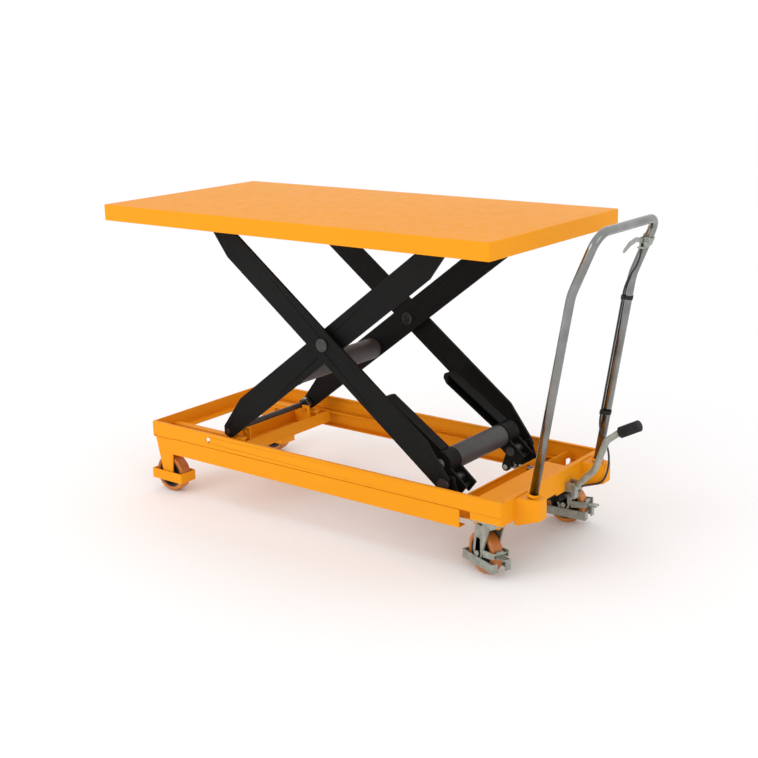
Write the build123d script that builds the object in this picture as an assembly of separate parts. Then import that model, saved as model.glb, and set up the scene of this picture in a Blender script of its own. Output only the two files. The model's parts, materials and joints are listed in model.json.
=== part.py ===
"""Hydraulic scissor lift trolley: large steel platform on one scissor, wheeled base, foot pump, push handle.

Millimetres, +Z up, floor at z = 0. +X points at the push handle, -Y is the near long side.
Dimensions are measured from the middle of the platform; finish() moves every piece by SHIFT_X, so that
the origin lies under the middle of the whole trolley. The table stands fully raised.
"""
from build123d import *
import math
import os

# ---- platform and scissor geometry ----
PLATFORM_LENGTH = 1500
PLATFORM_WIDTH = 720
PLATFORM_TOP = 990           # raised height of the load surface
PLATFORM_LOW = 315           # height when fully lowered
SKIRT = 52
SHEET = 3
PIVOT_DROP = 30              # platform pivots below the load surface
PIVOT_X = 512                # fixed pivots, base and platform
PIVOT_Z = 236
ARM_SPAN = 1150              # pivot to roller, along one arm
ARM_WIDTH = 86
ARM_THICK = 10
ARM_OFFSET = 18              # end pivots off the arm's centre line
OUTER_Y = 228                # inner face of the outer arms
INNER_Y = 202                # inner face of the inner arms
TAPER = 125                  # length of the tapered arm ends
TIP = 24                     # radius of an arm's tip

# ---- base frame ----
BASE_FRONT = -664
BASE_REAR = 750
BASE_HALF = 290
RIM_Z = 244
RIM_BOTTOM = 196
BEAM_BOTTOM = 139
CORNER_BOTTOM = 174
FLANGE = 12
WALL = 4
BEAM_DEPTH = 30
FRONT_CROSS = (-440, -330)
REAR_CROSS = (556, 640)
CROSS_BOTTOM = 158
CROSS_TOP = 200
TRACK_TOP = 216
ROLLER_R = 19.7

# ---- wheels ----
WHEEL_R = 62.5
CORE_R = 49
FRONT_WHEEL_X = -606
FRONT_WHEEL_Y = 260
FRONT_WHEEL_W = 40
CASTER_X = 690
CASTER_Y = 247
CASTER_TRAIL = 34
CASTER_W = 38
CASTER_YAW = {"near": -22, "far": 4}

# ---- push handle and controls ----
TUBE_R = 13
LEG_FOOT = (779, 190, 186)
LEG_KNEE = (892, 178, 832)
LEG_TOP = (967, 172, 1005)
PEDAL_Y = 80
PEDAL_PIVOT = (772, 186)
CABLE_R = 3

SHIFT_X = -118
TOOTH = 0.3                  # air between curved faces that move past each other
RUN = 0.05                   # radial clearance of a running fit

HALF_RISE = (PLATFORM_TOP - PIVOT_DROP - PIVOT_Z) / 2
ARM_HALF = ARM_SPAN / 2
ALPHA = math.degrees(math.asin(HALF_RISE / ARM_HALF))
TILT = math.degrees(math.asin(ARM_OFFSET / ARM_HALF))
PLATE_ANGLE = ALPHA - TILT
CENTRE_X = PIVOT_X - ARM_HALF * math.cos(math.radians(ALPHA))
CENTRE_Z = PIVOT_Z + HALF_RISE
ROLLER_X = 2 * CENTRE_X - PIVOT_X
UPPER_Z = PLATFORM_TOP - PIVOT_DROP
LOW_ALPHA = math.degrees(math.asin((PLATFORM_LOW - PIVOT_DROP - PIVOT_Z) / ARM_SPAN))
SWING = ALPHA - LOW_ALPHA
UNDERSIDE = PLATFORM_TOP - SHEET


# ---- small helpers ----
def block(x0, x1, y0, y1, z0, z1):
    """Box between two corners."""
    size = (x1 - x0, y1 - y0, z1 - z0)
    centre = ((x0 + x1) / 2, (y0 + y1) / 2, (z0 + z1) / 2)
    return Pos(*centre) * Box(*size)


def rod(start, end, radius):
    """Round bar between two points."""
    a = Vector(*start)
    b = Vector(*end)
    plane = Plane(origin=(a + b) / 2, z_dir=b - a)
    return plane * Cylinder(radius, (b - a).length)


def bar_y(x, z, y0, y1, radius):
    """Round bar along Y."""
    return rod((x, y0, z), (x, y1, z), radius)


def ring_y(x, z, y0, y1, radius, bore):
    """Tube along Y."""
    return bar_y(x, z, y0, y1, radius) - bar_y(x, z, y0 - 1, y1 + 1, bore)


def plate_y(points, y0, y1):
    """Flat plate across Y, from its outline in X and Z."""
    face = make_face(Polyline(*[(x, y0, z) for x, z in points], close=True))
    return extrude(face, amount=y1 - y0, dir=(0, 1, 0))


def plate_z(points, z0, z1):
    """Flat plate across Z, from its outline in X and Y."""
    face = make_face(Polyline(*[(x, y, z0) for x, y in points], close=True))
    return extrude(face, amount=z1 - z0, dir=(0, 0, 1))


def far(shape):
    """The same piece on the far side, mirrored about the middle plane."""
    return mirror(shape, about=Plane.XZ)


def both(make):
    """The near and the far piece of one kind."""
    return [make("near"), make("far")]


def turned(x, z, angle):
    """Frame at a point of the XZ plane, its x axis turned down by angle."""
    c = math.cos(math.radians(angle))
    s = math.sin(math.radians(angle))
    return lambda u, v: (x + u * c + v * s, z - u * s + v * c)


def ring_box(x0, x1, y0, y1, z0, z1, wall):
    """Closed rectangular band of flat bar, standing on edge."""
    outer = block(x0, x1, y0, y1, z0, z1)
    inner = block(x0 + wall, x1 - wall, y0 + wall, y1 - wall, z0 - 1, z1 + 1)
    return outer - inner


def round_vertical(shape, radius):
    """Round the upright edges of a piece."""
    return fillet(shape.edges().filter_by(Axis.Z), radius)


def around(shape, x, y, angle):
    """Turn a piece about an upright axis."""
    return Pos(x, y, 0) * Rot(0, 0, angle) * Pos(-x, -y, 0) * shape


# Outer arms run down towards +X, inner arms up towards +X.
on_outer = turned(CENTRE_X, CENTRE_Z, PLATE_ANGLE)
on_inner = turned(CENTRE_X, CENTRE_Z, -PLATE_ANGLE)


# ---- platform ----
def platform_pan():
    half_l = PLATFORM_LENGTH / 2
    half_w = PLATFORM_WIDTH / 2
    body = block(-half_l, half_l, -half_w, half_w, PLATFORM_TOP - SKIRT, PLATFORM_TOP)
    body = round_vertical(body, 6)
    body = fillet(body.faces().sort_by(Axis.Z)[-1].edges(), 3)
    cavity = block(-half_l + SHEET, half_l - SHEET, -half_w + SHEET, half_w - SHEET, 0, UNDERSIDE)
    return body - cavity


RIB_DEPTH = 20
RIB_Y = 300
RIB_END = 695
RAIL_IN = 239
RAIL_OUT = 270
RAIL_X = (-676, -330)
RAIL_ROOF = 7


def platform_ribs():
    """Folded stiffeners welded under the sheet, clear of the folded arms."""
    z0 = UNDERSIDE - RIB_DEPTH
    ribs = []
    for x in (-RIB_END, RIB_END):
        ribs.append(block(x - 15, x + 15, -RIB_Y, RIB_Y, z0, UNDERSIDE) -
                    block(x - 12, x + 12, -RIB_Y - 1, RIB_Y + 1, z0 + SHEET, PLATFORM_TOP))
    for y in (-80, 80):
        ribs.append(block(-620, 560, y - 12, y + 12, z0, UNDERSIDE) -
                    block(-621, 561, y - 9, y + 9, z0 + SHEET, PLATFORM_TOP))
    return ribs


def roller_rail(side):
    """Channel under the platform; its roof bears on the upper roller, its lip keeps the roller in."""
    roof = block(*RAIL_X, RAIL_IN, RAIL_OUT, UPPER_Z + ROLLER_R + TOOTH, UNDERSIDE)
    web = block(*RAIL_X, RAIL_OUT - WALL, RAIL_OUT, PLATFORM_TOP - SKIRT, UNDERSIDE)
    lip = block(*RAIL_X, RAIL_IN, RAIL_OUT, PLATFORM_TOP - SKIRT, UPPER_Z - ROLLER_R - TOOTH)
    rail = roof + web + lip
    return far(rail) if side == "near" else rail


BRACKET_HALF = 32
BRACKET_PLATES = ((193, 199), (215, 221))


def platform_bracket(side):
    """Pair of lugs, joined by a foot plate, that hold one upper pivot pin."""
    x0 = PIVOT_X - BRACKET_HALF
    x1 = PIVOT_X + BRACKET_HALF
    lugs = [block(x0, x1, y0, y1, PLATFORM_TOP - SKIRT, UNDERSIDE) for y0, y1 in BRACKET_PLATES]
    end = block(x1, x1 + 6, 193, 221, PLATFORM_TOP - SKIRT, UNDERSIDE)
    bracket = lugs[0] + lugs[1] + end
    bracket -= bar_y(PIVOT_X, UPPER_Z, 190, 224, 10)
    return far(bracket) if side == "near" else bracket


def upper_pins():
    """Headed pins through the platform lugs and the tips of the inner arms."""
    pin = bar_y(PIVOT_X, UPPER_Z, 190, 221, 10) + bar_y(PIVOT_X, UPPER_Z, 221, 225, 14)
    return [pin, far(pin)]


# ---- scissor arms ----
def arm_plate(point, low_side):
    """One arm, outline from the middle outwards; low_side is -1 where the lower end is at +u."""
    half = ARM_WIDTH / 2
    end = ARM_HALF
    straight = end - TAPER
    side = low_side * ARM_OFFSET
    tip = TIP * 0.9
    right = [(straight, -low_side * half), (end + 4, side - low_side * TIP), (end + tip, side)]
    right += [(end + 6, side + low_side * TIP), (end - 30, low_side * half)]
    left = [(-u, -v) for u, v in right]
    outline = [point(u, v) for u, v in right + left]
    return outline


def outer_arm(side):
    arm = plate_y(arm_plate(on_outer, -1), OUTER_Y, OUTER_Y + ARM_THICK)
    arm -= bar_y(CENTRE_X, CENTRE_Z, 200, 260, PIVOT_R)
    arm -= bar_y(PIVOT_X, PIVOT_Z, 200, 260, SHAFT_R)
    arm -= bar_y(ROLLER_X, UPPER_Z, 200, 260, AXLE_R)
    return far(arm) if side == "near" else arm


PIVOT_R = 15
SHAFT_R = 15
AXLE_R = 10
CRANK_R = 58                 # pivot to the roller that a cylinder pushes
CRANK_ANGLE = math.radians(-90 - SWING / 2)
CRANK_X = PIVOT_X + CRANK_R * math.cos(CRANK_ANGLE)
CRANK_Z = PIVOT_Z + CRANK_R * math.sin(CRANK_ANGLE)
CRANK_PIN_R = 8
CRANK_ROLLER_R = 14
CYLINDER_Y = 163
ROD_R = 8
ROD_CAP = (12, 8)            # radius and length of a rod's flat cap
BARREL_R = 23
BORE_R = 18
BARREL_X = (646, 744)
BARREL_FOOT = 12
GLAND_T = 14
PISTON_X = (664, 680)


def inner_arm(side):
    arm = plate_y(arm_plate(on_inner, 1), INNER_Y, INNER_Y + ARM_THICK)
    arm -= bar_y(CENTRE_X, CENTRE_Z, 190, 230, PIVOT_R + RUN)
    arm -= bar_y(PIVOT_X, UPPER_Z, 190, 230, AXLE_R + RUN)
    arm -= bar_y(ROLLER_X, PIVOT_Z, 190, 230, AXLE_R)
    return far(arm) if side == "near" else arm


def centre_pins():
    """Headed pins that join the two pairs of arms, each with a spacer washer between the arms."""
    pin = bar_y(CENTRE_X, CENTRE_Z, 199, 238, PIVOT_R) + bar_y(CENTRE_X, CENTRE_Z, 238, 243, 21)
    return [pin, far(pin)]


def centre_spacers():
    ring = ring_y(CENTRE_X, CENTRE_Z, 212.3, OUTER_Y, 26, PIVOT_R)
    return [ring, far(ring)]


def centre_circlips():
    clip = ring_y(CENTRE_X, CENTRE_Z, 199, 201.7, 20, PIVOT_R)
    return [clip, far(clip)]


LIFT_TUBE_U = 515
LIFT_TUBE_V = -8
LIFT_TUBE_R = 35
EAR_Y = ((134, 142), (184, 192))
EAR_RIM = 38


def lift_tube():
    """Large cross tube that joins the lift levers, between the outer ears."""
    x, z = on_outer(LIFT_TUBE_U, LIFT_TUBE_V)
    half = EAR_Y[1][0]
    return ring_y(x, z, -half, half, LIFT_TUBE_R, LIFT_TUBE_R - 5)


def lift_tube_bolts():
    x, z = on_outer(LIFT_TUBE_U, LIFT_TUBE_V)
    bolt = hexagon_y(x, z, 192.5, 199, 12) + bar_y(x, z, 192, 192.5, 15)
    return [bolt, far(bolt)]


def hexagon_y(x, z, y0, y1, across):
    """Hexagon bolt head along Y."""
    corners = []
    for k in range(6):
        angle = math.radians(60 * k)
        corners.append((x + across * math.cos(angle), z + across * math.sin(angle)))
    return plate_y(corners, y0, y1)


def ear(y0, y1):
    """Plate round the lower shaft with a crank for the push roller; the tube passes the inner one."""
    x, z = on_outer(LIFT_TUBE_U, LIFT_TUBE_V)
    lower = [(LIFT_TUBE_U, 8), (LIFT_TUBE_U, -38), (ARM_HALF + 46, -38), (ARM_HALF + 46, 4)]
    plate = plate_y([on_outer(u, v) for u, v in lower], y0, y1)
    plate += bar_y(x, z, y0, y1, EAR_RIM)
    half = CRANK_ROLLER_R
    dx = half * math.sin(CRANK_ANGLE)
    dz = half * math.cos(CRANK_ANGLE)
    crank = [(PIVOT_X - dx, PIVOT_Z + dz), (PIVOT_X + dx, PIVOT_Z - dz)]
    crank += [(CRANK_X + dx, CRANK_Z - dz), (CRANK_X - dx, CRANK_Z + dz)]
    plate += plate_y(crank, y0, y1) + bar_y(CRANK_X, CRANK_Z, y0, y1, half)
    if y0 < LEVER_Y[0]:
        plate -= bar_y(x, z, y0 - 1, y1 + 1, LIFT_TUBE_R)
    plate -= bar_y(PIVOT_X, PIVOT_Z, y0 - 1, y1 + 1, SHAFT_R)
    plate -= bar_y(CRANK_X, CRANK_Z, y0 - 1, y1 + 1, CRANK_PIN_R)
    return plate


def cylinder_ears(side):
    plates = [ear(y0, y1) for y0, y1 in EAR_Y]
    tie = plate_y([on_outer(u, v) for u, v in ((604, -30), (604, -8), (614, -8), (614, -30))], 142, 184)
    pieces = plates + [tie]
    return [far(p) for p in pieces] if side == "near" else pieces


LEVER_Y = (142, 184)
LEVER_TOP = ((250, 8), (488, 23))
LEVER_LOW = ((488, -10), (266, -25))
LEVER_NOSE = ((246, -17), (240, -4))
LEVER_WALL = 5


def lift_lever(side):
    """Channel from the cross tube up along the arm, open towards the middle, with a blunt nose."""
    outline = LEVER_TOP + LEVER_LOW + LEVER_NOSE
    y0, y1 = LEVER_Y
    lever = plate_y([on_outer(u, v) for u, v in outline], y0, y1)
    top = [(u + LEVER_WALL, v - LEVER_WALL) for u, v in LEVER_TOP]
    low = [(u + LEVER_WALL, v + LEVER_WALL) for u, v in LEVER_LOW]
    lever -= plate_y([on_outer(u, v) for u, v in top + low], y0 - 1, y1 - LEVER_WALL)
    x, z = on_outer(LIFT_TUBE_U, LIFT_TUBE_V)
    lever += bar_y(x, z, y0, y1, EAR_RIM)
    lever -= bar_y(x, z, y0 - 1, y1 + 1, LIFT_TUBE_R)
    return far(lever) if side == "near" else lever


def lower_shafts():
    """Two stub shafts that carry the outer arms on the base."""
    shaft = bar_y(PIVOT_X, PIVOT_Z, 131, 243, SHAFT_R) + bar_y(PIVOT_X, PIVOT_Z, 238, 243, 20)
    return [shaft, far(shaft)]


def crank_pins():
    pin = bar_y(CRANK_X, CRANK_Z, 131, 195, CRANK_PIN_R)
    return [pin, far(pin)]


def along_x(x0, x1, radius):
    """Solid bar on the line of the far cylinder."""
    return rod((x0, CYLINDER_Y, CRANK_Z), (x1, CYLINDER_Y, CRANK_Z), radius)


def push_rod(side):
    """Rod with its piston and a hardened flat cap that meets the push roller."""
    cap_r, cap_t = ROD_CAP
    tip = CRANK_X + CRANK_ROLLER_R + TOOTH
    shape = along_x(tip, tip + cap_t, cap_r) + along_x(tip + cap_t, PISTON_X[0], ROD_R)
    shape += along_x(*PISTON_X, BORE_R - RUN)
    return far(shape) if side == "near" else shape


def cylinder_barrel(side):
    """Thick-walled tube with a closed foot."""
    x0, x1 = BARREL_X
    barrel = along_x(x0, x1, BARREL_R) - along_x(x0, x1 - BARREL_FOOT, BORE_R)
    return far(barrel) if side == "near" else barrel


def cylinder_gland(side):
    """Gland that joins a barrel to the cross channel and guides its rod."""
    x0 = REAR_CROSS[1]
    x1 = BARREL_X[0] + GLAND_T
    gland = along_x(x0, x1, BORE_R) - along_x(x0, x1, ROD_R + RUN)
    return far(gland) if side == "near" else gland


def push_rollers():
    ring = ring_y(CRANK_X, CRANK_Z, 142.5, 183.5, CRANK_ROLLER_R, CRANK_PIN_R + RUN)
    return [ring, far(ring)]


INNER_TUBE_U = -190
INNER_TUBE_V = -8


def inner_tube():
    """Large cross tube that ties the two inner arms."""
    x, z = on_inner(INNER_TUBE_U, INNER_TUBE_V)
    return ring_y(x, z, -INNER_Y, INNER_Y, LIFT_TUBE_R, LIFT_TUBE_R - 5)


def roller_axle():
    """Through axle at the lower end of the inner arms."""
    return bar_y(ROLLER_X, PIVOT_Z, -215, 215, AXLE_R)


def lower_roller(side):
    ring = ring_y(ROLLER_X, PIVOT_Z, 177, 199, ROLLER_R, AXLE_R + RUN)
    return far(ring) if side == "near" else ring


def lower_roller_collars():
    """Set collars that keep the lower rollers on their axle."""
    ring = ring_y(ROLLER_X, PIVOT_Z, 166, 176.7, 16, AXLE_R)
    return [ring, far(ring)]


def upper_axles():
    """Stub axles at the upper end of the outer arms."""
    stub = bar_y(ROLLER_X, UPPER_Z, 225, 263, AXLE_R) + bar_y(ROLLER_X, UPPER_Z, 222, 228, 15)
    return [stub, far(stub)]


def upper_roller(side):
    ring = ring_y(ROLLER_X, UPPER_Z, 241, 262, ROLLER_R, AXLE_R + RUN)
    return far(ring) if side == "near" else ring


# ---- base frame ----
FRONT_INNER = BASE_FRONT + WALL
REAR_INNER = BASE_REAR - WALL
LOWER_BEAM_X = (-575, 603)
CABLE_HOLE_X = -401


def side_beam(side):
    """Light channel along one side, open towards the middle."""
    y1 = BASE_HALF
    y0 = BASE_HALF - FLANGE
    x0, x1 = FRONT_INNER, REAR_INNER
    beam = block(x0, x1, y1 - WALL, y1, RIM_BOTTOM, RIM_Z)
    beam += block(x0, x1, y0, y1, RIM_Z - WALL, RIM_Z)
    beam += block(x0, x1, y0, y1, RIM_BOTTOM, RIM_BOTTOM + WALL)
    beam -= bar_y(CABLE_HOLE_X, 222, y0 - 1, y1 + 1, 9)
    return far(beam) if side == "near" else beam


def lower_beam(side):
    """Deeper channel welded under the side beam to stiffen it, open towards the middle."""
    x0, x1 = LOWER_BEAM_X
    y1 = BASE_HALF
    y0 = BASE_HALF - BEAM_DEPTH
    top = RIM_BOTTOM - 1.5
    beam = block(x0, x1, y1 - WALL, y1, BEAM_BOTTOM, top)
    beam += block(x0, x1, y0, y1, top - WALL, top)
    beam += block(x0, x1, y0, y1, BEAM_BOTTOM, BEAM_BOTTOM + WALL)
    beam += block(x0, x1, y1 - WALL - 6, y1 - WALL, top, RIM_BOTTOM)
    return far(beam) if side == "near" else beam


def front_end_beam():
    beam = block(BASE_FRONT, FRONT_INNER, -BASE_HALF, BASE_HALF, 188, RIM_Z)
    beam += block(FRONT_INNER, BASE_FRONT + 42, -274, 274, RIM_BOTTOM, RIM_BOTTOM + WALL)
    edges = beam.edges().filter_by(Axis.X).sort_by(Axis.Z)
    corner = [e for e in edges if abs(abs(e.center().Y) - BASE_HALF) < 1 and e.center().Z < 190]
    return fillet(corner, 8)


def rear_end_beam():
    beam = block(REAR_INNER, BASE_REAR, -BASE_HALF, BASE_HALF, CORNER_BOTTOM, RIM_Z)
    beam += block(REAR_INNER - FLANGE, REAR_INNER, -274, 274, RIM_Z - WALL, RIM_Z)
    beam -= block(REAR_INNER - 1, BASE_REAR + 1, -60, 10, 170, 182)
    return beam


def cross_channel(x0, x1):
    """Channel across the frame, open upwards, standing on the lower beams."""
    y = BASE_HALF - BEAM_DEPTH
    shape = block(x0, x1, -y, y, CROSS_BOTTOM, CROSS_BOTTOM + 5)
    for a, b in ((x0, x0 + 5), (x1 - 5, x1)):
        shape += block(a, b, -y, y, CROSS_BOTTOM, CROSS_TOP)
    return shape


def rear_channel():
    """Rear cross channel, bored for the two cylinder rods."""
    hole = along_x(REAR_CROSS[0] - 1, REAR_CROSS[1] + 1, ROD_R + 3)
    return cross_channel(*REAR_CROSS) - hole - far(hole)


DECK_Z = 226                 # underside of the deck at the handle end


def rear_deck():
    """Deck over the pump, open over the release valve, with a folded front edge."""
    x1 = REAR_INNER
    x0 = REAR_CROSS[1]
    deck = block(x0, x1, -277, 130, DECK_Z, DECK_Z + 3)
    deck += block(x0, x0 + 3, -277, 277, CROSS_TOP, DECK_Z)
    return deck


BOX_START = REAR_CROSS[1] + 0.5


def corner_box(side):
    """Folded box under each rear corner that a caster bolts to."""
    outer = block(BOX_START, REAR_INNER, 196, BASE_HALF, CORNER_BOTTOM, RIM_BOTTOM)
    hollow = block(BOX_START - 1, REAR_INNER - WALL, 200, BASE_HALF - WALL, CORNER_BOTTOM + 5, RIM_BOTTOM + 1)
    box = outer - hollow
    for x, y in caster_bolt_places():
        box -= Pos(x, y, CORNER_BOTTOM) * Cylinder(5, 20)
    return far(box) if side == "near" else box


def track(side):
    """Flat bar on edge that one lower roller runs on, between the front beam and the cross channel."""
    top = TRACK_TOP
    x1 = FRONT_CROSS[1]
    rail = block(FRONT_INNER, x1, 175, 201, top - 6, top)
    web = block(BASE_FRONT + 42, FRONT_CROSS[0], 185, 191, 192, top - 6)
    post = block(*FRONT_CROSS, 185, 191, CROSS_BOTTOM + 5, top - 6)
    post -= block(FRONT_CROSS[0] - 1, FRONT_CROSS[0] + 5, 180, 195, 150, CROSS_TOP)
    post -= block(FRONT_CROSS[1] - 5, FRONT_CROSS[1] + 1, 180, 195, 150, CROSS_TOP)
    rail = rail + web + post
    return far(rail) if side == "near" else rail


LUG_Y = (214, 222)


def base_lugs():
    """Upright plates on the rear cross channel that carry the lower shaft."""
    y0, y1 = LUG_Y
    outline = [(480, 158), (556, 158), (556, 200), (536, 256), (488, 256)]
    lug = plate_y(outline, y0, y1) - bar_y(PIVOT_X, PIVOT_Z, y0 - 1, y1 + 1, SHAFT_R + RUN)
    return [lug, far(lug)]


def lug_rails():
    """Short channels that carry the shaft lugs between the cross channel and the lower beam."""
    rail = block(470, REAR_CROSS[0], 208, BASE_HALF - BEAM_DEPTH, 150, 158)
    return [rail, far(rail)]


def guide_posts():
    """Upright stops on the front cross channel, beside the tracks."""
    post = block(-368, -336, 150, 156, CROSS_BOTTOM + 5, 240) - bar_y(-352, 224, 149, 157, 6)
    return [post, far(post)]


# ---- fixed front wheels ----
FORK_HALF = 26.5             # outside of a fork plate from the middle of its wheel
GUARD_GAP = 4.5
GUARD_T = 4


def front_fork(side):
    """Two tapered plates under a top plate."""
    y0 = FRONT_WHEEL_Y - FORK_HALF
    y1 = FRONT_WHEEL_Y + FORK_HALF
    x = FRONT_WHEEL_X
    outline = [(-656, 189), (x + 31, 189), (x + 20, 44), (x - 18, 44)]
    fork = plate_y(outline, y0, y0 + 5) + plate_y(outline, y1 - 5, y1)
    fork += block(-656, x + 31, y0, y1, 183, 189)
    for a, b in ((y0 - GUARD_GAP, y0), (y1, y1 + GUARD_GAP)):
        fork += block(x + 11, x + 19, a, b, 44, 56)
    fork -= bar_y(x, WHEEL_R, y0 - 1, y1 + 1, 6)
    return far(fork) if side == "near" else fork


def front_fork_packer(side):
    """Packing block between the fork's top plate and the side beam."""
    piece = block(-656, LOWER_BEAM_X[0], 240, 285, 189, RIM_BOTTOM)
    return far(piece) if side == "near" else piece


def front_guard(side):
    """Rectangular band round the wheel that keeps toes away."""
    x = FRONT_WHEEL_X
    y0 = FRONT_WHEEL_Y - FORK_HALF - GUARD_GAP - GUARD_T
    y1 = FRONT_WHEEL_Y + FORK_HALF + GUARD_GAP + GUARD_T
    guard = ring_box(x - 70, x + 70, y0, y1, 40, 74, GUARD_T)
    guard = round_vertical_outer(guard, y0, y1)
    return far(guard) if side == "near" else guard


def round_vertical_outer(shape, y0, y1):
    """Round the outer upright edges of a band."""
    edges = shape.edges().filter_by(Axis.Z)
    outer = [e for e in edges if min(abs(e.center().Y - y0), abs(e.center().Y - y1)) < 0.5]
    return fillet(outer, 4)


def wheel_core(x, y, width):
    """Moulded wheel centre: rim, web and hub, with its bearing bore."""
    half = width / 2
    core = ring_y(x, WHEEL_R, y - half + 2, y + half - 2, CORE_R, CORE_R - 8)
    core += bar_y(x, WHEEL_R, y - 8, y + 8, CORE_R - 4)
    core += bar_y(x, WHEEL_R, y - half - 1, y + half + 1, 17)
    core -= bar_y(x, WHEEL_R, y - half - 3, y + half + 3, 11)
    return core


def wheel_tread(x, y, width):
    """Polyurethane tyre with rounded shoulders."""
    half = width / 2
    tread = bar_y(x, WHEEL_R, y - half, y + half, WHEEL_R)
    tread = fillet(tread.edges(), 5)
    return tread - bar_y(x, WHEEL_R, y - half - 1, y + half + 1, CORE_R)


def wheel_bearings(x, y, width):
    """Two ball bearings, shown as plain rings, one in each end of the hub."""
    half = width / 2
    ends = ((y - half - 1, y - half + 7), (y + half - 7, y + half + 1))
    return [ring_y(x, WHEEL_R, a, b, 11, 6 + RUN) for a, b in ends]


def wheel_with_bearings(x, y, width):
    return [wheel_core(x, y, width)] + wheel_bearings(x, y, width)


def axle_bolt(x, y, reach):
    """Axle bolt with a low hexagon head on one end and a thin nut on the other."""
    bolt = bar_y(x, WHEEL_R, y - reach, y + reach, 6)
    bolt += hexagon_y(x, WHEEL_R, y - reach - 4, y - reach, 9)
    bolt += hexagon_y(x, WHEEL_R, y + reach, y + reach + 4, 9)
    return bolt


# ---- swivel casters ----
PLATE_TOP = CORNER_BOTTOM
PLATE_BOTTOM = PLATE_TOP - 5
HEAD_BOTTOM = 152
CASTER_BOLT = (38, 30)


def caster_bolt_places():
    dx, dy = CASTER_BOLT
    return [(CASTER_X + a * dx, CASTER_Y + b * dy) for a in (-1, 1) for b in (-1, 1)]


def caster_plate(side):
    """Mounting plate with the fixed race of the swivel head and its kingpin."""
    plate = block(CASTER_X - 50, CASTER_X + 50, CASTER_Y - 42, CASTER_Y + 42, PLATE_BOTTOM, PLATE_TOP)
    plate = round_vertical(plate, 8)
    for x, y in caster_bolt_places():
        plate -= Pos(x, y, PLATE_TOP) * Cylinder(5, 20)
    race = Pos(CASTER_X, CASTER_Y, (PLATE_BOTTOM + 160) / 2) * Cylinder(32, PLATE_BOTTOM - 160)
    kingpin = Pos(CASTER_X, CASTER_Y, 156) * Cylinder(8, 24)
    plate = plate + race + kingpin
    return far(plate) if side == "near" else plate


def caster_bolts(side):
    """Four bolts that hold a caster to the frame."""
    bolts = []
    for x, y in caster_bolt_places():
        shank = Pos(x, y, 172) * Cylinder(4.9, 26)
        head = Pos(x, y, 182) * Cylinder(8, 5)
        nut = Pos(x, y, 166) * Cylinder(8, 6)
        bolts.append(shank + head + nut)
    return [far(b) for b in bolts] if side == "near" else bolts


def place_caster(shape, side):
    """Turn a piece made for a straight far caster to its swivel angle, on its own side."""
    sign = 1 if side == "far" else -1
    moved = Pos(0, (sign - 1) * CASTER_Y, 0) * shape
    return around(moved, CASTER_X, sign * CASTER_Y, CASTER_YAW[side])


def caster_wheel_x():
    return CASTER_X - CASTER_TRAIL


def caster_fork(side):
    """Pressed fork: swivel crown, neck and two raked legs."""
    x = caster_wheel_x()
    y = CASTER_Y
    crown = Pos(CASTER_X, y, 155.7) * Cylinder(31, 8) - Pos(CASTER_X, y, 155) * Cylinder(8 + RUN, 20)
    yoke = block(CASTER_X - 46, CASTER_X + 20, y - 29, y + 29, 147, 152)
    yoke -= Pos(CASTER_X, y, 150) * Cylinder(10, 20)
    fork = crown + yoke
    outline = [(CASTER_X - 46, 152), (CASTER_X + 20, 152), (x + 24, WHEEL_R + 8)]
    outline += [(x + 15, 47), (x - 15, 47), (x - 24, WHEEL_R + 8)]
    for a, b in ((y - 29, y - 24), (y + 24, y + 29)):
        fork += plate_y(outline, a, b)
    fork -= bar_y(x, WHEEL_R, y - 40, y + 40, 6)
    return place_caster(fork, side)


def caster_axle(side):
    """Axle bolt of a caster, with a low head and nut."""
    return [place_caster(axle_bolt(caster_wheel_x(), CASTER_Y, 29), side)]


def caster_guard(side):
    """Band round the caster wheel, open at the brake."""
    x = caster_wheel_x()
    y = CASTER_Y
    guard = ring_box(x - 74, x + 78, y - 33, y + 33, 24, 52, 4)
    guard -= block(x + 60, x + 80, y - 14, y + 14, 20, 70)
    return place_caster(guard, side)


def caster_brake(side):
    """Foot brake: a rocking pad lever in the front of the guard."""
    x = caster_wheel_x()
    y = CASTER_Y
    lever = block(x + 70, x + 104, y - 12, y + 12, 66, 71)
    lever += block(x + 66, x + 71, y - 12, y + 12, 60, 84)
    lever += bar_y(x + 68, 76, y - 23.7, y + 23.7, 4)
    return place_caster(lever, side)


def brake_lugs(side):
    """Small ears on the fork that hold the brake's pin."""
    x = caster_wheel_x()
    y = CASTER_Y
    pieces = []
    for a, b in ((y - 29, y - 24), (y + 24, y + 29)):
        lug = plate_y([(x + 22, 80), (x + 76, 84), (x + 76, 66), (x + 26, 58)], a, b)
        pieces.append(place_caster(lug, side))
    return pieces


# ---- push handle ----
def leg_point(z, side):
    """Point on a handle leg's straight lower run at a height."""
    t = (z - LEG_FOOT[2]) / (LEG_KNEE[2] - LEG_FOOT[2])
    x = LEG_FOOT[0] + t * (LEG_KNEE[0] - LEG_FOOT[0])
    y = LEG_FOOT[1] + t * (LEG_KNEE[1] - LEG_FOOT[1])
    return (x, y if side == "far" else -y, z)


def mirrored(point):
    return (point[0], -point[1], point[2])


def push_handle():
    """One bent tube: two legs, knees, and the grip across the top."""
    points = [mirrored(LEG_FOOT), mirrored(LEG_KNEE), mirrored(LEG_TOP), LEG_TOP, LEG_KNEE, LEG_FOOT]
    path = FilletPolyline(*points, radius=[160, 48, 48, 160])
    plane = Plane(origin=path @ 0, z_dir=path % 0)
    section = plane * (Circle(TUBE_R) - Circle(TUBE_R - 2.5))
    return sweep(section, path=path)


SOCKET_BOTTOM = 160
SOCKET_TOP = 240


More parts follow.
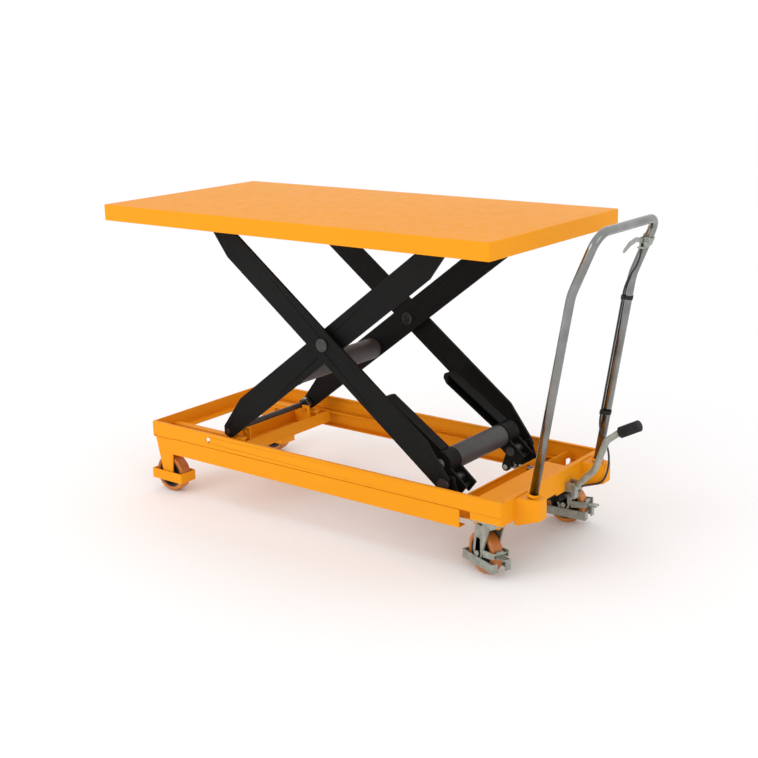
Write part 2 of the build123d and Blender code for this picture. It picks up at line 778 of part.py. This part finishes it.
def handle_socket(side):
    """Tapered box bracket on the rear beam, bored for one handle leg."""
    outline = [(BASE_REAR, 156), (BASE_REAR, 226), (822, 210), (822, 170)]
    body = plate_z(outline, SOCKET_BOTTOM, SOCKET_TOP)
    wedge = [(BASE_REAR + 6, SOCKET_BOTTOM - 1), (830, SOCKET_BOTTOM - 1), (830, SOCKET_BOTTOM + 22)]
    body -= plate_y(wedge, 140, 240)
    body -= rod(leg_point(LEG_FOOT[2], "far"), leg_point(300, "far"), TUBE_R)
    body -= rod(leg_point(200, "far"), leg_point(130, "far"), TUBE_R - 4)
    return far(body) if side == "near" else body


def handle_collars():
    """Clamp collars where the legs leave their sockets."""
    pieces = []
    for side in ("near", "far"):
        low = leg_point(243.5, side)
        high = leg_point(252, side)
        pieces.append(rod(low, high, TUBE_R + 5) - rod(leg_point(230, side), leg_point(262, side), TUBE_R))
    return pieces


def cable_clips():
    """P-clips that hold the release cable to the far leg."""
    clips = []
    for z in (405, 765):
        low = Vector(*leg_point(z - 6, "far"))
        high = Vector(*leg_point(z + 6, "far"))
        cable = Vector(*CABLE_OFF)
        loop = rod(low, high, TUBE_R + 1.5) + rod(low + cable, high + cable, CABLE_R + 2.3)
        loop -= rod(leg_point(z - 20, "far"), leg_point(z + 20, "far"), TUBE_R)
        a = Vector(*leg_point(z - 20, "far")) + cable
        b = Vector(*leg_point(z + 20, "far")) + cable
        clips.append(loop - rod(a, b, CABLE_R + 0.8))
    return clips


CABLE_OFF = (-11, -13.5, 0)
LEVER_T = 0.62               # place of the lever's clamp along the upper leg


def upper_leg(t):
    """Point on the far leg's upper run, from knee to top."""
    return tuple(a + t * (b - a) for a, b in zip(LEG_KNEE, LEG_TOP))


LEVER_PIVOT = (938, 150, 938)


def release_bracket():
    """Clamp on the far leg with a fork for the release lever."""
    low = upper_leg(LEVER_T - 0.06)
    high = upper_leg(LEVER_T + 0.06)
    clamp = rod(low, high, TUBE_R + 4)
    px, py, pz = LEVER_PIVOT
    arm = block(px - 9, px + 9, py - 22, 172, pz - 20, pz + 10)
    slot = block(px - 4, px + 4, py - 23, py + 12, pz - 15, pz + 14)
    slot += block(px - 10, px + 10, py - 23, py - 9, pz - 15, pz + 14)
    bracket = clamp + arm - slot
    bracket -= rod(upper_leg(LEVER_T - 0.3), upper_leg(LEVER_T + 0.3), TUBE_R)
    bracket -= rod((px - 12, py, pz), (px + 12, py, pz), 3)
    return bracket


def lever_pin():
    px, py, pz = LEVER_PIVOT
    return rod((px - 10, py, pz), (px + 10, py, pz), 3)


def release_lever():
    """Curved finger lever under the grip, in the plane across the handle."""
    px, py, pz = LEVER_PIVOT
    outline_top = [(py - 6, pz + 7), (py - 45, pz + 16), (py - 85, pz + 9), (py - 118, pz - 9)]
    outline_low = [(py - 122, pz - 18), (py - 84, pz - 3), (py - 45, pz + 4), (py - 4, pz - 8)]
    face = make_face(Polyline(*[(px - 3, y, z) for y, z in outline_top + outline_low], close=True))
    lever = extrude(face, amount=6, dir=(1, 0, 0))
    lever += rod((px - 3, py, pz), (px + 3, py, pz), 8)
    return lever - rod((px - 5, py, pz), (px + 5, py, pz), 3 + RUN)


CABLE_ROUTE = [
    (938, 136, 917),
    (934, 138, 893),
    (922, 145, 868),
    (904, 154, 845),
    (887.5, 161, 821),
    (873.7, 165.3, 790),
    (802.3, 172.9, 382),
    (804, 169.5, 360),
    (811, 168, 342),
    (820, 171.5, 320),
    (828, 177, 296),
    (832, 180, 268),
    (833, 178, 241),
    (831.5, 170, 215),
    (825, 162, 193),
    (809, 160.5, 181),
    (791, 157.5, 175.2),
    (776, 150, 172.8),
    (767.5, 136.5, 171.6),
    (765, 119.2, 171),
]


def cable_radii(points):
    """Largest arc at each corner of a route, from the shorter of its two runs."""
    radii = []
    for a, b, c in zip(points, points[1:], points[2:]):
        one = Vector(*b) - Vector(*a)
        two = Vector(*c) - Vector(*b)
        half_turn = math.radians(one.get_angle(two)) / 2
        radii.append(0.45 * min(one.length, two.length) / math.tan(half_turn))
    return radii


def release_cable():
    """Bowden cable from the release lever to the valve arm on the pump."""
    radii = cable_radii(CABLE_ROUTE)
    path = FilletPolyline(*CABLE_ROUTE, radius=radii)
    plane = Plane(origin=path @ 0, z_dir=path % 0)
    cable = sweep(plane * Circle(CABLE_R), path=path)
    print("cable radii", [round(r) for r in radii])
    print("cable length", round(path.length), "volume ratio", cable.volume / path.length / math.pi / CABLE_R**2)
    return cable


# ---- foot pump ----
def pump_body():
    """Pump block under the deck, with the oil tank beside it and the plunger's bore."""
    body = block(650, 740, 44, 118, 142, DECK_Z)
    body += block(650, 740, -70, 44, 168, DECK_Z)
    return body - rod((676, PEDAL_Y, 160), (745, PEDAL_Y, 160), 9 + RUN)


def pump_plunger():
    """Plunger that the foot lever pushes into the pump."""
    plunger = rod((696, PEDAL_Y, 160), (763, PEDAL_Y, 160), 9)
    return plunger + rod((757.5, PEDAL_Y, 160), (762.5, PEDAL_Y, 160), 12)


def pedal_lugs():
    """Two lugs on the rear beam that hold the foot lever's pin."""
    x, z = PEDAL_PIVOT
    outline = [(BASE_REAR, 174), (BASE_REAR, 204), (x + 8, 200), (x + 13, 190), (x + 10, 176)]
    lugs = []
    for y0, y1 in ((PEDAL_Y - 20, PEDAL_Y - 13), (PEDAL_Y + 13, PEDAL_Y + 20)):
        lugs.append(plate_y(outline, y0, y1) - bar_y(x, z, y0 - 1, y1 + 1, 6))
    return lugs


def pedal_pin():
    x, z = PEDAL_PIVOT
    return bar_y(x, z, PEDAL_Y - 23, PEDAL_Y + 23, 6)


FOOT_ROUTE = [(772, 186), (837, 252), (875, 352), (912, 381), (948, 400)]
FOOT_TUBE_R = 10


def foot_lever():
    """S-bent bar with a boss on its pin and a short arm that pushes the plunger."""
    x, z = PEDAL_PIVOT
    path = FilletPolyline(*[(a, PEDAL_Y, b) for a, b in FOOT_ROUTE], radius=[50, 40, 60])
    plane = Plane(origin=path @ 0, z_dir=path % 0)
    lever = sweep(plane * Circle(FOOT_TUBE_R), path=path)
    lever += bar_y(x, z, PEDAL_Y - 12.7, PEDAL_Y + 12.7, 13)
    heel = plate_y([(x - 11, z), (x + 9, z), (x + 3, 150), (x - 6, 150)], PEDAL_Y - 8, PEDAL_Y + 8)
    lever += heel
    lever -= bar_y(x, z, PEDAL_Y - 20, PEDAL_Y + 20, 6 + RUN)
    return lever


def foot_grip():
    """Ribbed rubber sleeve on the end of the foot lever."""
    a = Vector(FOOT_ROUTE[-2][0], PEDAL_Y, FOOT_ROUTE[-2][1])
    b = Vector(FOOT_ROUTE[-1][0], PEDAL_Y, FOOT_ROUTE[-1][1])
    along = (b - a).normalized()
    start = b - along * 34
    end = b + along * 36
    sleeve = rod(start, end, 17)
    sleeve = fillet(sleeve.edges(), 4)
    return sleeve - rod(start - along, b, FOOT_TUBE_R)


VALVE = (765, 106, 150)


def valve_arm():
    """Arm on the release valve spindle that the cable pulls."""
    x, y, z = VALVE
    arm = block(x - 3, x + 3, y - 4, y + 4, z, z + 24) + rod((x - 3, y, z), (x + 3, y, z), 7)
    arm += rod((x - 24.5, y, z), (x - 3, y, z), 5)
    return arm


def valve_boss():
    """Boss on the pump that the release valve spindle turns in."""
    x, y, z = VALVE
    return rod((740, y, z), (758, y, z), 10) - rod((739, y, z), (759, y, z), 5 + RUN)


def cable_stop():
    """Tab on the rear beam that holds the end of the cable's sheath."""
    tab = block(BASE_REAR, 774, 114.6, 118.2, 160, 196)
    return tab - rod((765, 110, 171), (765, 122, 171), 1.5)


# ---- output ----
def finish(node, shape):
    """Write one node; a list becomes a group of separate solids."""
    pieces = shape if isinstance(shape, list) else [shape]
    moved = [Pos(SHIFT_X, 0, 0) * piece for piece in pieces]
    solids = [solid for piece in moved for solid in piece.solids()]
    export_step(Compound(children=solids) if len(solids) > 1 else solids[0], f"parts/{node}.step")


def make_platform():
    finish("platform_pan", platform_pan())
    finish("platform_ribs", platform_ribs())
    finish("upper_pivot_pins", upper_pins())
    finish("roller_rails", both(roller_rail))
    finish("platform_brackets", both(platform_bracket))


def make_scissor():
    for side in ("near", "far"):
        finish(f"outer_arm_{side}", outer_arm(side))
        finish(f"inner_arm_{side}", inner_arm(side))
    finish("cylinder_barrels", both(cylinder_barrel) + both(cylinder_gland))
    finish("push_rods", both(push_rod))
    finish("lower_rollers", both(lower_roller))
    finish("upper_rollers", both(upper_roller))
    finish("lift_levers", both(lift_lever) + cylinder_ears("near") + cylinder_ears("far"))
    finish("centre_pins", centre_pins() + centre_spacers() + centre_circlips())
    finish("lift_tube", lift_tube())
    finish("lift_fasteners", lift_tube_bolts() + crank_pins())
    finish("lower_shafts", lower_shafts())
    finish("push_rollers", push_rollers())
    finish("inner_tube", inner_tube())
    finish("inner_arm_axles", [roller_axle()] + lower_roller_collars())
    finish("upper_roller_stubs", upper_axles())


def make_base():
    finish("side_beams", both(side_beam))
    finish("lower_beams", both(lower_beam))
    finish("front_end_beam", front_end_beam())
    finish("rear_end_beam", rear_end_beam())
    finish("cross_channels", [cross_channel(*FRONT_CROSS), rear_channel()] + guide_posts())
    finish("rear_deck", rear_deck())
    finish("corner_boxes", both(corner_box) + caster_bolts("near") + caster_bolts("far"))
    finish("roller_tracks", both(track))
    finish("shaft_lugs", base_lugs() + lug_rails())


def make_wheels():
    x, y, w = FRONT_WHEEL_X, FRONT_WHEEL_Y, FRONT_WHEEL_W
    for side, sign in (("near", -1), ("far", 1)):
        finish(f"front_core_{side}", wheel_with_bearings(x, sign * y, w))
        finish(f"front_tread_{side}", wheel_tread(x, sign * y, w))
    finish("front_forks", both(front_fork) + both(front_fork_packer) + both(front_guard))
    finish("front_axles", [axle_bolt(x, sign * y, FORK_HALF) for sign in (-1, 1)])
    x, y, w = caster_wheel_x(), CASTER_Y, CASTER_W
    finish("caster_plates", both(caster_plate))
    for side in ("near", "far"):
        finish(f"caster_fork_{side}", [caster_fork(side)] + brake_lugs(side) + caster_axle(side))
        finish(f"caster_guard_{side}", caster_guard(side))
        finish(f"caster_brake_{side}", caster_brake(side))
        finish(f"caster_core_{side}", [place_caster(p, side) for p in wheel_with_bearings(x, y, w)])
        finish(f"caster_tread_{side}", place_caster(wheel_tread(x, y, w), side))


def make_controls():
    finish("push_handle", push_handle())
    finish("handle_sockets", both(handle_socket) + handle_collars())
    finish("cable_clips", cable_clips())
    finish("release_bracket", release_bracket())
    finish("release_lever", release_lever())
    finish("release_cable", release_cable())
    finish("pump_body", [pump_body(), valve_boss()])
    finish("control_lugs", pedal_lugs() + [pedal_pin(), cable_stop(), lever_pin()])
    finish("pump_plunger", pump_plunger())
    finish("foot_lever", foot_lever())
    finish("foot_grip", foot_grip())
    finish("valve_arm", valve_arm())


os.makedirs("parts", exist_ok=True)
make_platform()
make_scissor()
make_base()
make_wheels()
make_controls()
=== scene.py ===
"""Looks of the hydraulic scissor lift table: materials, rounded edges, welds, foot grip, studio."""

import json
import math

import bmesh
import bpy
from mathutils import Matrix, Vector


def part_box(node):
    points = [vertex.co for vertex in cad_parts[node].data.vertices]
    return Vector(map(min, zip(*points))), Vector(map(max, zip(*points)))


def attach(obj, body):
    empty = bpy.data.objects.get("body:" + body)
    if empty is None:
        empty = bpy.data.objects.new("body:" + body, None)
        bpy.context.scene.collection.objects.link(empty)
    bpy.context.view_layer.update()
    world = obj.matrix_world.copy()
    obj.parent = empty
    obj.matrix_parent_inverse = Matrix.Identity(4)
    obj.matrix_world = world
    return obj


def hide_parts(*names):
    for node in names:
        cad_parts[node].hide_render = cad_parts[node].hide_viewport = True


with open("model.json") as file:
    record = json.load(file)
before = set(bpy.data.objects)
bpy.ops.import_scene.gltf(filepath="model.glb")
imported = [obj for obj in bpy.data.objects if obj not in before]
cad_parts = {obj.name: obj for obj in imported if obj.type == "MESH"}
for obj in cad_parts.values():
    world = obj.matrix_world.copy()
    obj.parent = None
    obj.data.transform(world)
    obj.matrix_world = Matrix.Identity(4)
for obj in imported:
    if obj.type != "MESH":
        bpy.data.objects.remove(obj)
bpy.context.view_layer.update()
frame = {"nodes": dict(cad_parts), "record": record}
nodes = frame["nodes"]
MM = 0.001

# ---- camera ----
AZIMUTH = 37.80
ELEVATION = 15.39
ROLL = -1.25
DISTANCE = 4.2002
TARGET = Vector((-0.0201, 0, 0.4406))
LENS = 62.02
SENSOR = 36


def make_camera():
    """Camera on a sphere round the target, turned a little about its own axis."""
    a, e, r = (math.radians(v) for v in (AZIMUTH, ELEVATION, ROLL))
    back = Vector((math.sin(a) * math.cos(e), -math.cos(a) * math.cos(e), math.sin(e)))
    right = Vector((math.cos(a), math.sin(a), 0))
    up = back.cross(right)
    x_axis = right * math.cos(r) + up * math.sin(r)
    y_axis = up * math.cos(r) - right * math.sin(r)
    data = bpy.data.cameras.new("camera")
    data.lens = LENS
    data.sensor_width = SENSOR
    camera = bpy.data.objects.new("camera", data)
    matrix = Matrix((x_axis, y_axis, back)).transposed().to_4x4()
    matrix.translation = TARGET + back * DISTANCE
    camera.matrix_world = matrix
    bpy.context.scene.collection.objects.link(camera)
    bpy.context.scene.camera = camera


# ---- materials ----
PATCH_DETAIL = 5
ROUGH_DETAIL = 6
GRAIN_DETAIL = 3
ROUGH_NOISE = (0.3, 0.7)     # noise values that give the lowest and the highest roughness
EVEN = (1, 1, 1)             # a noise that isn't stretched
SHINE = "Specular IOR Level"


class Surface:
    """A Principled material whose colour, roughness and bump come from noises in object space."""

    def __init__(self, name, color, metallic=0.0):
        self.material = bpy.data.materials.new(name)
        self.material.use_nodes = True
        self.nodes = self.material.node_tree.nodes
        self.links = self.material.node_tree.links
        self.shader = self.nodes["Principled BSDF"]
        self.set("Metallic", metallic).set("Base Color", (*color, 1))
        self.color = color
        self.coords = self.nodes.new("ShaderNodeTexCoord").outputs["Object"]
        self.normal = None

    def set(self, socket, value):
        self.shader.inputs[socket].default_value = value
        return self

    def noise(self, scale, detail, stretch=EVEN):
        mapping = self.nodes.new("ShaderNodeMapping")
        mapping.inputs["Scale"].default_value = stretch
        self.links.new(self.coords, mapping.inputs["Vector"])
        noise = self.nodes.new("ShaderNodeTexNoise")
        noise.inputs["Scale"].default_value = scale
        noise.inputs["Detail"].default_value = detail
        self.links.new(mapping.outputs["Vector"], noise.inputs["Vector"])
        return noise.outputs["Fac"]

    def between(self, fac, low, high, out_low, out_high):
        """fac, remapped and clamped."""
        node = self.nodes.new("ShaderNodeMapRange")
        ends = {"From Min": low, "From Max": high, "To Min": out_low, "To Max": out_high}
        for socket, value in ends.items():
            node.inputs[socket].default_value = value
        self.links.new(fac, node.inputs["Value"])
        return node.outputs["Result"]

    def mottle(self, other, scale, low=0.35, high=0.65):
        """Blend the colour towards another in soft patches."""
        mix = self.nodes.new("ShaderNodeMix")
        mix.data_type = "RGBA"
        mix.inputs["A"].default_value = (*self.color, 1)
        mix.inputs["B"].default_value = (*other, 1)
        share = self.between(self.noise(scale, PATCH_DETAIL), low, high, 0, 1)
        self.links.new(share, mix.inputs["Factor"])
        self.links.new(mix.outputs["Result"], self.shader.inputs["Base Color"])
        return self

    def rough(self, low, high, scale):
        """Vary the roughness; its plain value is the middle, for viewers that don't read noises."""
        fac = self.between(self.noise(scale, ROUGH_DETAIL), *ROUGH_NOISE, low, high)
        self.links.new(fac, self.shader.inputs["Roughness"])
        return self.set("Roughness", (low + high) / 2)

    def bump(self, scale, depth, detail=GRAIN_DETAIL, stretch=EVEN):
        """Add a bump of this depth in metres; several stack up."""
        node = self.nodes.new("ShaderNodeBump")
        node.inputs["Strength"].default_value = 1.0
        node.inputs["Distance"].default_value = depth
        self.links.new(self.noise(scale, detail, stretch), node.inputs["Height"])
        if self.normal:
            self.links.new(self.normal, node.inputs["Normal"])
        self.normal = node.outputs["Normal"]
        self.links.new(self.normal, self.shader.inputs["Normal"])
        return self


COAT_PATCHES = 2.5           # noise scales of powder paint: patches, gloss, sheet waves, orange peel
COAT_GLOSS = 40
COAT_WAVES = 3.5
COAT_PEEL = 420
WAVE_DEPTH = 0.5 * MM
PEEL_DEPTH = 0.04 * MM

COATS = {
    "yellow_paint": dict(
        name="yellow_powder_coat",
        color=(0.83, 0.312, 0.0075),
        shade=(0.81, 0.300, 0.0070),
        rough=(0.41, 0.53),
        shine=0.10,
    ),
    "black_paint": dict(
        name="black_powder_coat",
        color=(0.0056, 0.0055, 0.0052),
        shade=(0.0078, 0.0076, 0.0073),
        rough=(0.50, 0.62),
        shine=0.10,
    ),
    "grey_paint": dict(
        name="grey_powder_coat",
        color=(0.062, 0.063, 0.066),
        shade=(0.045, 0.046, 0.049),
        rough=(0.45, 0.57),
        shine=0.3,
    ),
}


def powder_coat(name, color, shade, rough, shine):
    """Thick powder paint: faint orange peel, slight waviness of the sheet, soft patches."""
    paint = Surface(name, color)
    paint.mottle(shade, COAT_PATCHES, 0.40, 0.70).rough(*rough, COAT_GLOSS)
    paint.bump(COAT_WAVES, WAVE_DEPTH, 1).bump(COAT_PEEL, PEEL_DEPTH)
    paint.set(SHINE, shine)
    return paint.material


def zinc_plate():
    zinc = Surface("zinc_plate", (0.40, 0.42, 0.37), 0.75)
    zinc.mottle((0.29, 0.31, 0.27), 55).rough(0.34, 0.55, 90).bump(260, 0.03 * MM)
    return zinc.material


def chrome_tube():
    """Bright plating with faint marks drawn out along the upright tubes."""
    chrome = Surface("chrome_tube", (0.27, 0.275, 0.265), 1.0)
    chrome.mottle((0.20, 0.205, 0.197), 18).rough(0.09, 0.2, 25)
    chrome.bump(60, 0.02 * MM, 2, (1, 1, 0.15))
    return chrome.material


def black_rubber():
    rubber = Surface("black_rubber", (0.012, 0.012, 0.012))
    rubber.mottle((0.022, 0.022, 0.022), 30).rough(0.55, 0.75, 120).bump(900, 0.04 * MM)
    return rubber.set(SHINE, 0.25).material


def tread_polyurethane():
    tread = Surface("tread_polyurethane", (0.62, 0.20, 0.016))
    tread.mottle((0.38, 0.10, 0.012), 14).rough(0.3, 0.5, 60).bump(350, 0.03 * MM)
    return tread.set("Coat Weight", 0.15).set("Coat Roughness", 0.25).material


def core_moulding():
    core = Surface("core_moulding", (0.016, 0.015, 0.014))
    core.mottle((0.026, 0.024, 0.022), 35).rough(0.42, 0.6, 80).bump(500, 0.03 * MM)
    return core.set(SHINE, 0.25).material


def bright_steel():
    steel = Surface("bright_steel", (0.36, 0.36, 0.35), 1.0)
    steel.mottle((0.26, 0.26, 0.25), 60).rough(0.24, 0.42, 150).bump(700, 0.02 * MM)
    return steel.material


def dark_steel():
    dark = Surface("dark_steel", (0.035, 0.034, 0.033), 0.6)
    dark.mottle((0.06, 0.058, 0.055), 45).rough(0.32, 0.5, 110).bump(600, 0.02 * MM)
    return dark.material


def cable_sheath():
    sheath = Surface("cable_sheath", (0.012, 0.012, 0.012))
    sheath.mottle((0.02, 0.02, 0.02), 40).rough(0.34, 0.5, 90).bump(300, 0.03 * MM)
    return sheath.material


def make_materials():
    """One material for each slot of the record."""
    made = {slot: powder_coat(**coat) for slot, coat in COATS.items()}
    makers = (zinc_plate, chrome_tube, black_rubber, tread_polyurethane)
    makers += (core_moulding, bright_steel, dark_steel, cable_sheath)
    for make in makers:
        made[make.__name__] = make()
    return made


# ---- pieces carried over from the CAD ----
BEVELS = {                   # width of the rounded edges in millimetres; 0 leaves them alone
    "yellow_paint": 1.2,
    "black_paint": 1.2,
    "grey_paint": 1.0,
    "zinc_plate": 0.8,
    "bright_steel": 0.6,
    "dark_steel": 0.6,
    "tread_polyurethane": 0,
    "core_moulding": 0.8,
    "chrome_tube": 0,
    "black_rubber": 0.5,
    "cable_sheath": 0,
}
SHARP = math.radians(32)     # steeper edges are sharp or rounded, others are smooth
MERGE = 0.01 * MM


def finish_node(node, slot, material):
    """Give a CAD node its material, smooth curves and small rounded edges."""
    mesh = node.data
    mesh.materials.clear()
    mesh.materials.append(material)
    if "custom_normal" in mesh.attributes:
        mesh.attributes.remove(mesh.attributes["custom_normal"])
    mesh.set_sharp_from_angle(angle=SHARP)
    weld = node.modifiers.new("weld", "WELD")
    weld.merge_threshold = MERGE
    width = BEVELS[slot]
    if width:
        bevel = node.modifiers.new("rounded_edges", "BEVEL")
        bevel.width = width * MM
        bevel.segments = 2
        bevel.limit_method = "ANGLE"
        bevel.angle_limit = SHARP
        bevel.harden_normals = True


# ---- mesh helpers ----
def new_piece(name, bm, material, body):
    """Object from a bmesh, smooth where shallow, riding a body."""
    mesh = bpy.data.meshes.new(name)
    bmesh.ops.recalc_face_normals(bm, faces=bm.faces)
    bm.to_mesh(mesh)
    bm.free()
    mesh.materials.append(material)
    for polygon in mesh.polygons:
        polygon.use_smooth = True
    mesh.set_sharp_from_angle(angle=SHARP)
    piece = bpy.data.objects.new(name, mesh)
    bpy.context.scene.collection.objects.link(piece)
    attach(piece, body)
    return piece


def frame_at(origin, direction):
    """Matrix that puts local z along a direction, at an origin."""
    matrix = Vector(direction).normalized().to_track_quat("Z", "Y").to_matrix().to_4x4()
    matrix.translation = Vector(origin)
    return matrix


def ring_points(matrix, radius, height, count):
    """Points of a circle round the local z axis of a matrix."""
    turns = (2 * math.pi * k / count for k in range(count))
    return [matrix @ Vector((radius * math.cos(t), radius * math.sin(t), height)) for t in turns]


LATHE_STEPS = 48


def lathe(bm, profile, origin, direction):
    """Add a closed solid of revolution; profile is (radius, height) pairs in metres."""
    matrix = frame_at(origin, direction)
    rings = []
    for radius, height in profile:
        points = ring_points(matrix, radius, height, LATHE_STEPS if radius else 1)
        rings.append([bm.verts.new(point) for point in points])
    for low, high in zip(rings, rings[1:]):
        for k in range(LATHE_STEPS):
            a, b = low[k % len(low)], low[(k + 1) % len(low)]
            c, d = high[(k + 1) % len(high)], high[k % len(high)]
            corners = list(dict.fromkeys((a, b, c, d)))
            if len(corners) > 2:
                bm.faces.new(corners)


BEAD_SIDES = 8
RIPPLE_SPACING = 0.9         # distance between a bead's rings, as a share of its radius
RIPPLE_DIP = 0.86            # every third ring is this much of the radius


def dense_line(points, spacing, closed):
    """Points along straight runs, close together."""
    dense = []
    pairs = list(zip(points, points[1:])) + ([(points[-1], points[0])] if closed else [])
    for a, b in pairs:
        count = max(2, int((b - a).length / spacing))
        dense += [a.lerp(b, k / count) for k in range(count)]
    return dense if closed else dense + [points[-1]]


def bead(bm, points, radius, closed=False):
    """Add a weld bead: a rippled tube along points, in metres."""
    line = dense_line(points, radius * RIPPLE_SPACING, closed)
    rings = []
    for k, point in enumerate(line):
        after = line[(k + 1) % len(line)] if closed or k + 1 < len(line) else point
        before = line[k - 1] if closed or k else point
        size = radius * (1.0 if k % 3 else RIPPLE_DIP)
        places = ring_points(frame_at(point, after - before), size, 0, BEAD_SIDES)
        rings.append([bm.verts.new(place) for place in places])
    loop = list(zip(rings, rings[1:])) + ([(rings[-1], rings[0])] if closed else [])
    for low, high in loop:
        shift = nearest_turn(low, high)
        for s in range(BEAD_SIDES):
            a, b = low[s], low[(s + 1) % BEAD_SIDES]
            c, d = high[(s + shift + 1) % BEAD_SIDES], high[(s + shift) % BEAD_SIDES]
            bm.faces.new((a, b, c, d))
    if not closed:
        bm.faces.new(rings[0][::-1])
        bm.faces.new(rings[-1])


def nearest_turn(low, high):
    """Index of the vertex of the next ring that lies nearest to the first of this one."""
    distances = [(v.co - low[0].co).length for v in high]
    return distances.index(min(distances))


def middle(node_name):
    """Centre of a CAD node's box."""
    low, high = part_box(node_name)
    return (low + high) / 2


# ---- details that only the looks need ----
WELD = 2.4 * MM
TUBE_RADIUS = 35 * MM
RING_STEPS = 40
WELD_RINGS = (               # tube, body, distance of each weld from the middle
    ("inner_tube", "inner_arms", 201 * MM),
    ("lift_tube", "outer_arms", 133 * MM),
)


def add_tube_welds():
    """Ring weld where each end of a large cross tube meets its plate."""
    for node_name, body, y in WELD_RINGS:
        centre = middle(node_name)
        for sign in (-1, 1):
            bm = bmesh.new()
            matrix = frame_at((centre.x, sign * y, centre.z), (0, 1, 0))
            bead(bm, ring_points(matrix, TUBE_RADIUS, 0, RING_STEPS), WELD, closed=True)
            new_piece(f"weld_{node_name}_{sign}", bm, materials["black_paint"], body)


SOCKET_Y = (155, 227)        # welded edges of a handle socket, in millimetres
SOCKET_Z = (162, 238)
REAR_FACE = 632.5            # just outside the rear beam's outer face


def add_socket_welds():
    """Upright welds between the handle sockets and the rear beam."""
    bm = bmesh.new()
    for sign in (-1, 1):
        for y in SOCKET_Y:
            ends = [Vector((REAR_FACE, sign * y, z)) * MM for z in SOCKET_Z]
            bead(bm, ends, WELD)
    new_piece("weld_sockets", bm, materials["yellow_paint"], "base")


# Foot grip, on the bent end of the foot lever.
GRIP_START = Vector((799.9, 80, 384.1)) * MM
GRIP_END = Vector((861.8, 80, 416.8)) * MM
GRIP_RADIUS = 17 * MM
GRIP_RIBS = 9
GRIP_SHARE = 0.55            # share of one rib's pitch that stands up
GRIP_END_SHARE = 0.6         # radius of the end's flat, as a share of the grip's
GROOVE = 1.6 * MM


def add_foot_grip():
    """Ribbed rubber sleeve with a chamfered end, in place of the plain one."""
    along = GRIP_END - GRIP_START
    length = along.length
    pitch = length / GRIP_RIBS
    valley = GRIP_RADIUS - GROOVE
    profile = [(0, 0), (valley, 0)]
    for k in range(GRIP_RIBS):
        low = k * pitch
        top = low + pitch * GRIP_SHARE
        profile += [(valley, low + GROOVE / 2), (GRIP_RADIUS, low + GROOVE)]
        profile += [(GRIP_RADIUS, top), (valley, top + GROOVE / 2)]
    profile += [(valley, length - GROOVE), (GRIP_RADIUS * GRIP_END_SHARE, length), (0, length)]
    bm = bmesh.new()
    lathe(bm, profile, GRIP_START, along)
    grip = new_piece("foot_grip_ribs", bm, materials["black_rubber"], "foot_pedal")
    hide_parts("foot_grip")


# ---- studio ----
FLOOR_SIZE = 40
FLOOR_DROP = 0.5 * MM        # keeps the floor just below the wheels
WORLD_COLOR = (1.0, 1.0, 1.0, 1)
WORLD_STRENGTH = 1.08
LIGHT_AIM = Vector((0, 0, 0.4))
LIGHT_SIZE = 2.4
LIGHTS = (                   # name, place in metres, power in watts
    ("key", (-1.6, -3.8, 1.9), 34),
    ("fill", (3.8, -1.6, 1.9), 12),
)


def make_floor():
    """Pale seamless floor."""
    mesh = bpy.data.meshes.new("floor")
    bm = bmesh.new()
    bmesh.ops.create_grid(bm, x_segments=2, y_segments=2, size=FLOOR_SIZE / 2)
    bm.to_mesh(mesh)
    bm.free()
    floor = bpy.data.objects.new("floor", mesh)
    floor.location.z = -FLOOR_DROP
    bpy.context.scene.collection.objects.link(floor)
    surface = Surface("floor_white", (0.93, 0.93, 0.935))
    surface.mottle((0.925, 0.925, 0.93), 0.7).rough(0.8, 0.9, 3).set(SHINE, 0.1)
    mesh.materials.append(surface.material)


def make_world():
    """White surroundings that light the object evenly."""
    world = bpy.data.worlds.new("studio")
    world.use_nodes = True
    background = world.node_tree.nodes["Background"]
    background.inputs["Color"].default_value = WORLD_COLOR
    background.inputs["Strength"].default_value = WORLD_STRENGTH
    bpy.context.scene.world = world


def area_light(name, place, power):
    """Large soft disc that faces the object."""
    data = bpy.data.lights.new(name, "AREA")
    data.shape = "DISK"
    data.size = LIGHT_SIZE
    data.energy = power
    light = bpy.data.objects.new(name, data)
    light.matrix_world = frame_at(place, Vector(place) - LIGHT_AIM)
    bpy.context.scene.collection.objects.link(light)


def make_studio():
    make_floor()
    make_world()
    for name, place, power in LIGHTS:
        area_light(name, place, power)


# ---- build ----
make_camera()
materials = make_materials()
slots = {row["node"]: row["material_slot"] for row in frame["record"]["subparts"]}
for node_name, node in nodes.items():
    finish_node(node, slots[node_name], materials[slots[node_name]])
add_tube_welds()
add_socket_welds()
add_foot_grip()
make_studio()

bpy.context.scene.view_settings.view_transform = "Standard"
